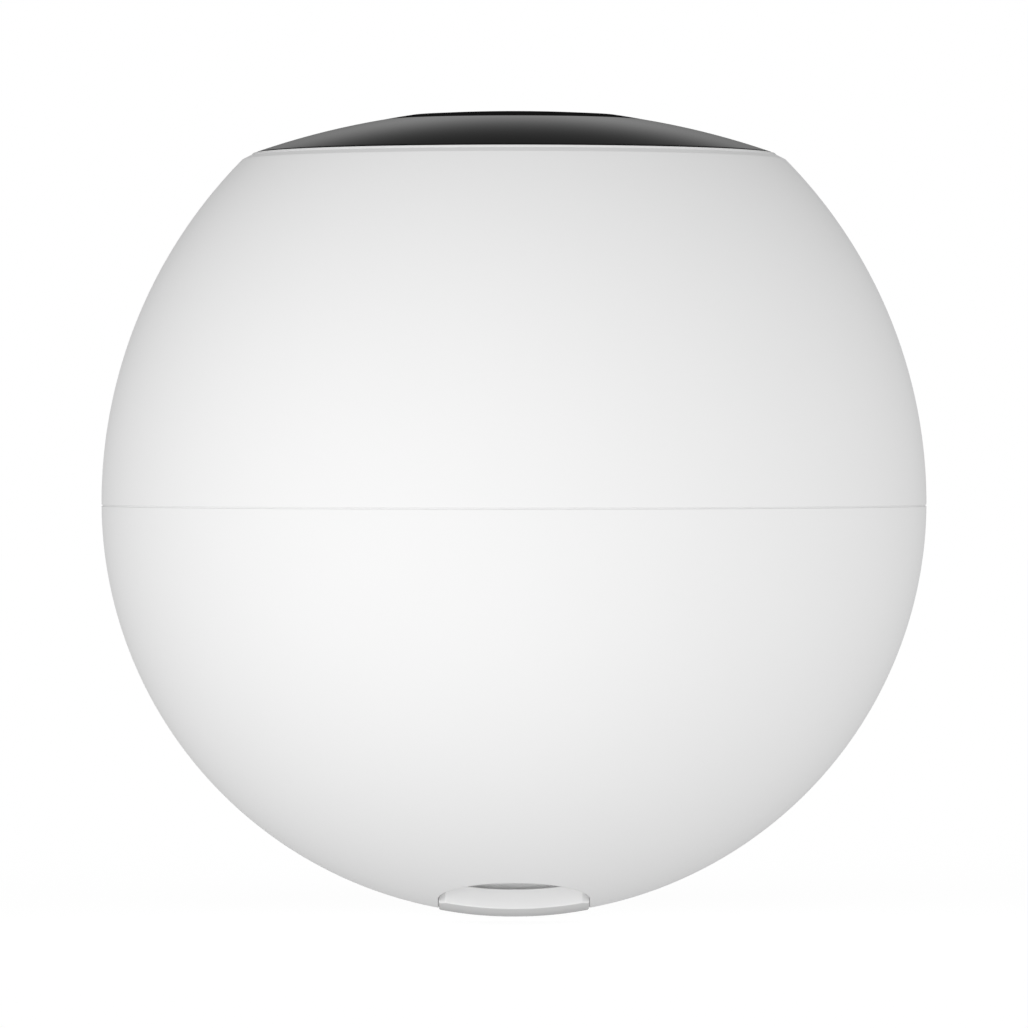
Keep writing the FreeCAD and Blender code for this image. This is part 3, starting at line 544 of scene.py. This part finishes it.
class Look:
    """A material under construction: its nodes, and the coordinates that its patterns use."""

    def __init__(self, name):
        self.made = bpy.data.materials.new(name)
        self.made.use_nodes = True
        self.nodes = self.made.node_tree.nodes
        self.links = self.made.node_tree.links
        self.shader = self.nodes["Principled BSDF"]
        self.place = self.nodes.new("ShaderNodeTexCoord").outputs["Object"]

    def set(self, **values):
        for name, value in values.items():
            self.shader.inputs[name.replace("_", " ")].default_value = value
        return self

    def noise(self, size_mm, detail=3.0, stretch=(1, 1, 1)):
        """Noise whose features are about size_mm across."""
        mapping = self.nodes.new("ShaderNodeMapping")
        mapping.inputs["Scale"].default_value = stretch
        self.links.new(self.place, mapping.inputs["Vector"])
        texture = self.nodes.new("ShaderNodeTexNoise")
        texture.inputs["Scale"].default_value = 1 / (size_mm * MM)
        texture.inputs["Detail"].default_value = detail
        self.links.new(mapping.outputs["Vector"], texture.inputs["Vector"])
        return texture.outputs["Fac"]

    def waves(self, size_mm, direction, distortion=0.0):
        """Even stripes across the given axis."""
        texture = self.nodes.new("ShaderNodeTexWave")
        texture.bands_direction = direction
        texture.inputs["Scale"].default_value = 0.314 / (size_mm * MM)
        texture.inputs["Distortion"].default_value = distortion
        self.links.new(self.place, texture.inputs["Vector"])
        return texture.outputs["Fac"]

    def ranged(self, source, lowest, highest):
        scale = self.nodes.new("ShaderNodeMapRange")
        scale.inputs["To Min"].default_value = lowest
        scale.inputs["To Max"].default_value = highest
        self.links.new(source, scale.inputs["Value"])
        return scale.outputs["Result"]

    def product(self, first, second):
        maths = self.nodes.new("ShaderNodeMath")
        maths.operation = "MULTIPLY"
        self.links.new(first, maths.inputs[0])
        self.links.new(second, maths.inputs[1])
        return maths.outputs["Value"]

    def tint(self, source, dark, light):
        """Colour that runs between two colours with the source."""
        mix = self.nodes.new("ShaderNodeMix")
        mix.data_type = "RGBA"
        mix.inputs["A"].default_value = (*dark, 1)
        mix.inputs["B"].default_value = (*light, 1)
        self.links.new(source, mix.inputs["Factor"])
        self.links.new(mix.outputs["Result"], self.shader.inputs["Base Color"])
        return self

    def uneven_gloss(self, source, lowest, highest):
        self.links.new(self.ranged(source, lowest, highest), self.shader.inputs["Roughness"])
        return self

    def bump(self, source, height_mm, strength=1.0):
        node = self.nodes.new("ShaderNodeBump")
        node.inputs["Distance"].default_value = height_mm * MM
        node.inputs["Strength"].default_value = strength
        self.links.new(source, node.inputs["Height"])
        self.links.new(node.outputs["Normal"], self.shader.inputs["Normal"])
        return self


def shade(colour, share):
    """The colour made lighter or darker, with no channel above one."""
    return tuple(min(1.0, c * share) for c in colour)


def grey(value, warmth=0.0):
    """A grey, with a little more red and less blue if it is warm."""
    return (value * (1 + warmth), value, value * (1 - warmth))


def moulded(name, colour, roughness, variation=0.02, grain=0.002, specular=0.5, coat=0.0):
    """Moulded plastic: a faint mottle, slightly uneven gloss and a very fine grain."""
    look = Look(name)
    mottle = look.noise(9, 2.0)
    look.tint(mottle, shade(colour, 1 - variation), shade(colour, 1 + variation))
    look.uneven_gloss(look.noise(4, 4.0), roughness * 0.94, roughness * 1.06)
    look.bump(look.noise(0.25, 2.0), grain)
    look.set(Specular_IOR_Level=specular, Coat_Weight=coat, Coat_Roughness=0.15)
    return look.made


def polished_dome(name):
    """Near-black plastic, polished on the domed face and matt on the edge below it."""
    made = moulded(name, grey(0.004), 0.1, variation=0.1, grain=0.0002)
    nodes, links = made.node_tree.nodes, made.node_tree.links
    height = nodes.new("ShaderNodeSeparateXYZ")
    links.new(nodes.new("ShaderNodeTexCoord").outputs["Object"], height.inputs["Vector"])
    edge = dome_surface(DOME_RADIUS, DOME_EDGE)
    gloss = nodes.new("ShaderNodeMapRange")
    gloss.inputs["From Min"].default_value = (edge - 0.02) * MM
    gloss.inputs["From Max"].default_value = (edge + 0.02) * MM
    gloss.inputs["To Max"].default_value = 0.5
    links.new(height.outputs["Z"], gloss.inputs["Value"])
    links.new(gloss.outputs["Result"], nodes["Principled BSDF"].inputs["Specular IOR Level"])
    return made


def metal(name, colour, roughness, stretch=(1, 1, 14), grain=0.004):
    """Bare or plated metal with fine drawn lines."""
    look = Look(name)
    lines = look.noise(0.5, 4.0, stretch)
    look.tint(lines, shade(colour, 0.9), colour)
    look.uneven_gloss(lines, roughness * 0.8, roughness * 1.25)
    look.bump(lines, grain)
    look.set(Metallic=1.0)
    return look.made


def rubber(name, colour, roughness=0.7):
    """Soft rubber: matte, with a fine skin and dusty highlights."""
    look = Look(name)
    look.tint(look.noise(3, 4.0), shade(colour, 0.92), shade(colour, 1.06))
    look.uneven_gloss(look.noise(1.2, 3.0), roughness * 0.92, min(1.0, roughness * 1.08))
    look.bump(look.noise(0.12, 2.0), 0.006)
    look.set(Specular_IOR_Level=0.35, Sheen_Weight=0.08)
    return look.made


def woven(name, dark, light, pitch, roughness=0.9, depth=0.04):
    """Plain-woven cloth of that thread pitch in millimetres."""
    look = Look(name)
    weave = look.product(look.waves(pitch, "X", 0.3), look.waves(pitch, "Y", 0.3))
    look.tint(weave, dark, light)
    look.uneven_gloss(look.noise(1.0), roughness * 0.92, min(1.0, roughness * 1.05))
    look.bump(weave, depth)
    look.set(Sheen_Weight=0.2)
    return look.made


def circuit_board(name):
    """Green solder mask over faint copper tracks."""
    look = Look(name)
    tracks = look.product(look.waves(1.1, "X", 2.5), look.waves(1.6, "Y", 2.0))
    look.tint(tracks, (0.004, 0.05, 0.02), (0.012, 0.12, 0.045))
    look.uneven_gloss(look.noise(2.0), 0.26, 0.36)
    look.bump(tracks, 0.02)
    return look.made


def wound(name, colour, pitch):
    """Fine wire wound round the vertical axis."""
    look = Look(name)
    turns = look.waves(pitch, "Z")
    look.tint(turns, shade(colour, 0.35), colour)
    look.uneven_gloss(turns, 0.45, 0.28)
    look.bump(turns, 0.03)
    look.set(Metallic=1.0)
    return look.made


def cast(name, colour, roughness, metallic, pits=0.08):
    """Cast or sintered material with a grainy skin."""
    look = Look(name)
    grains = look.noise(0.6, 6.0)
    look.tint(grains, shade(colour, 0.7), shade(colour, 1.25))
    look.uneven_gloss(grains, roughness * 0.85, min(1.0, roughness * 1.15))
    look.bump(grains, pits)
    look.set(Metallic=metallic)
    return look.made


def frosted(name, colour, roughness):
    """Clear plastic with a frosted or moulded surface that lets some light through."""
    look = Look(name)
    cloud = look.noise(1.5, 3.0)
    look.tint(cloud, shade(colour, 0.95), colour)
    look.uneven_gloss(cloud, roughness * 0.9, roughness * 1.1)
    look.bump(look.noise(0.2, 2.0), 0.004)
    look.set(Transmission_Weight=0.35, IOR=1.49)
    return look.made


WHITE = 0.80
LOOKS = {
    "shell": lambda s: moulded(s, grey(WHITE), 0.5, variation=0.004, grain=0.0006, specular=0.3),
    "cover": lambda s: moulded(s, grey(WHITE), 0.25, variation=0.004, grain=0.0006, coat=0.6),
    "trim": lambda s: moulded(s, grey(0.86), 0.25, variation=0.003, grain=0.0003),
    "seam": lambda s: moulded(s, grey(0.80), 0.5),
    # Painted light: the well is the same white plastic as the shells but given a lighter white, so its
    # shaded inside, seen through the mouth, looks lit.
    "well": lambda s: moulded(s, grey(0.93), 0.6, grain=0.003),
    "mesh": lambda s: woven(s, grey(0.002), grey(0.012), 0.35),
    "dome": polished_dome,
    "button": lambda s: moulded(s, grey(0.012), 0.6, variation=0.1, grain=0.0004, specular=0.0),
    "bezel": lambda s: moulded(s, grey(0.012), 0.6, variation=0.1, grain=0.0004, specular=0.0),
    "dark_insert": lambda s: moulded(s, grey(0.02), 0.5),
    "chassis": lambda s: moulded(s, grey(0.05), 0.55, grain=0.006),
    "connector": lambda s: moulded(s, (0.75, 0.72, 0.62), 0.5),
    "ribbon": lambda s: moulded(s, grey(0.68, 0.02), 0.4),
    "spring": lambda s: metal(s, grey(0.62), 0.25),
    "fastener": lambda s: metal(s, grey(0.55, 0.01), 0.3),
    "plated_can": lambda s: metal(s, grey(0.66, 0.015), 0.24, (1, 12, 1)),
    "motor_steel": lambda s: metal(s, grey(0.5), 0.35),
    "heat_sink": lambda s: metal(s, grey(0.62, -0.01), 0.35, (1, 10, 1)),
    "antenna": lambda s: metal(s, (0.83, 0.62, 0.28), 0.22),
    "coil": lambda s: wound(s, (0.78, 0.38, 0.16), 0.15),
    "basket": lambda s: cast(s, grey(0.025), 0.5, 0.0, 0.02),
    "magnet": lambda s: cast(s, grey(0.05), 0.6, 0.3),
    "ballast": lambda s: cast(s, grey(0.16), 0.55, 1.0, 0.12),
    "cone": lambda s: woven(s, grey(0.015), grey(0.035), 0.5, 0.85, 0.03),
    "spider": lambda s: woven(s, (0.35, 0.22, 0.06), (0.55, 0.38, 0.14), 0.4),
    "gasket": lambda s: rubber(s, grey(0.018)),
    "foot": lambda s: rubber(s, grey(0.72), 0.6),
    "lead": lambda s: rubber(s, (0.32, 0.015, 0.012), 0.45),
    "capacitor": lambda s: moulded(s, (0.03, 0.035, 0.09), 0.3),
    "circuit_board": circuit_board,
    "led": lambda s: frosted(s, (0.9, 0.85, 0.6), 0.2),
    "diffuser": lambda s: frosted(s, grey(0.85, -0.01), 0.5),
}


def dress():
    """Makes each slot's material and puts it on the slot's CAD nodes."""
    materials = {slot: make(slot) for slot, make in LOOKS.items()}
    for part in frame["record"]["subparts"]:
        data = frame["nodes"][part["node"]].data
        data.materials.clear()
        data.materials.append(materials[part["material_slot"]])
        data.shade_smooth()
        data.set_sharp_from_angle(angle=math.radians(30))
    return materials


def place(piece, body, slot, node, materials):
    """Gives a rebuilt piece its material and its body, and hides the CAD node that it stands for."""
    piece.data.materials.append(materials[slot])
    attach(piece, body)
    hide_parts(node)


# ---------------------------------------------------------------- studio

LOBES = [
    # name, direction it comes from, sharpness, strength
    ("ambient", None, 0, 0.06),
    ("front", (0.0, -1.0, 0.0), 2, 0.70),
    ("left", (-1.0, 0.0, 0.0), 2, 0.45),
    ("right", (1.0, 0.0, 0.0), 2, 1.05),
    ("overhead", (0.0, -0.35, 0.94), 4, 0.56),
    ("left_front", (-0.8, -0.6, 0.0), 4, 1.18),
    ("low_front", (0.0, -0.7, -0.7), 4, 0.94),
    ("back_strip", (0.0, 0.954, 0.30), 80, 0.33),
    ("back_fill", (0.0, 0.8, -0.6), 4, 0.35),
]


def studio_light():
    """A soft, even studio as the world: broad lobes of light round a plain white background."""
    world = bpy.data.worlds.new("studio")
    bpy.context.scene.world = world
    world.use_nodes = True
    nodes, links = world.node_tree.nodes, world.node_tree.links
    direction = nodes.new("ShaderNodeTexCoord").outputs["Generated"]

    def maths(operation, first, second):
        """A maths node's result. The second value is a socket or a number."""
        node = nodes.new("ShaderNodeMath")
        node.operation = operation
        links.new(first, node.inputs[0])
        if isinstance(second, (int, float)):
            node.inputs[1].default_value = second
        else:
            links.new(second, node.inputs[1])
        return node.outputs[0]

    total = None
    for name, towards, sharpness, strength in LOBES:
        level = nodes.new("ShaderNodeValue")
        level.name = name
        level.outputs[0].default_value = strength
        out = level.outputs[0]
        if towards:
            dot = nodes.new("ShaderNodeVectorMath")
            dot.operation = "DOT_PRODUCT"
            dot.inputs[1].default_value = Vector(towards).normalized()
            links.new(direction, dot.inputs[0])
            facing = maths("MAXIMUM", dot.outputs["Value"], 0.0)
            out = maths("MULTIPLY", maths("POWER", facing, sharpness), out)
        total = maths("ADD", total, out) if total else out
    lit = nodes["Background"]
    links.new(total, lit.inputs["Strength"])
    lit.inputs["Color"].default_value = (1, 1, 1, 1)
    backdrop = nodes.new("ShaderNodeBackground")
    backdrop.inputs["Color"].default_value = (1, 1, 1, 1)
    mix = nodes.new("ShaderNodeMixShader")
    links.new(nodes.new("ShaderNodeLightPath").outputs["Is Camera Ray"], mix.inputs["Fac"])
    links.new(lit.outputs[0], mix.inputs[1])
    links.new(backdrop.outputs[0], mix.inputs[2])
    links.new(mix.outputs[0], nodes["World Output"].inputs["Surface"])


def pale_floor():
    """A plain pale floor at the foot's height. It sends no light back to the speaker."""
    mesh = bpy.data.meshes.new("floor")
    half = 3.0
    corners = [(-half, -half, 0), (half, -half, 0), (half, half, 0), (-half, half, 0)]
    mesh.from_pydata(corners, [], [(0, 1, 2, 3)])
    floor = bpy.data.objects.new("floor", mesh)
    bpy.context.scene.collection.objects.link(floor)
    made = bpy.data.materials.new("pale_floor")
    made.use_nodes = True
    nodes, links = made.node_tree.nodes, made.node_tree.links
    shader = nodes["Principled BSDF"]
    shader.inputs["Base Color"].default_value = (0.12, 0.12, 0.12, 1)
    shader.inputs["Roughness"].default_value = 1.0
    shader.inputs["Specular IOR Level"].default_value = 0.0
    shader.inputs["Emission Color"].default_value = (1, 1, 1, 1)
    shader.inputs["Emission Strength"].default_value = 0.93
    mesh.materials.append(made)
    floor.visible_diffuse = False
    floor.visible_glossy = False
    floor.visible_transmission = False
    floor.visible_shadow = False


def camera():
    """The long-lens, almost level view of the side with the cable mouth."""
    data = bpy.data.cameras.new("camera")
    data.sensor_width = 36
    data.lens = 293.6
    data.clip_start = 0.05
    data.clip_end = 20
    made = bpy.data.objects.new("camera", data)
    bpy.context.scene.collection.objects.link(made)
    made.location = (0, -1.0175, 0.05812)
    aim = Vector((0, 0, 0.04869))
    made.rotation_euler = (aim - made.location).to_track_quat("-Z", "Y").to_euler()
    bpy.context.scene.camera = made


# ---------------------------------------------------------------- scene

bpy.context.scene.view_settings.view_transform = "Standard"
camera()
studio_light()
pale_floor()
materials = dress()
for build, body, slot, node in (
    (upper_shell, "housing", "shell", "upper_shell"),
    (lower_shell, "housing", "shell", "lower_shell"),
    (trim_ring, "housing", "trim", "trim_ring"),
    (top_dome, "housing", "dome", "top_dome"),
    (button_bezel, "housing", "bezel", "button_bezel"),
    (touch_button, "button", "button", "touch_button"),
    (base_cover, "housing", "cover", "base_cover"),
    (foot_pad, "housing", "foot", "foot_pad"),
):
    place(build(), body, slot, node, materials)
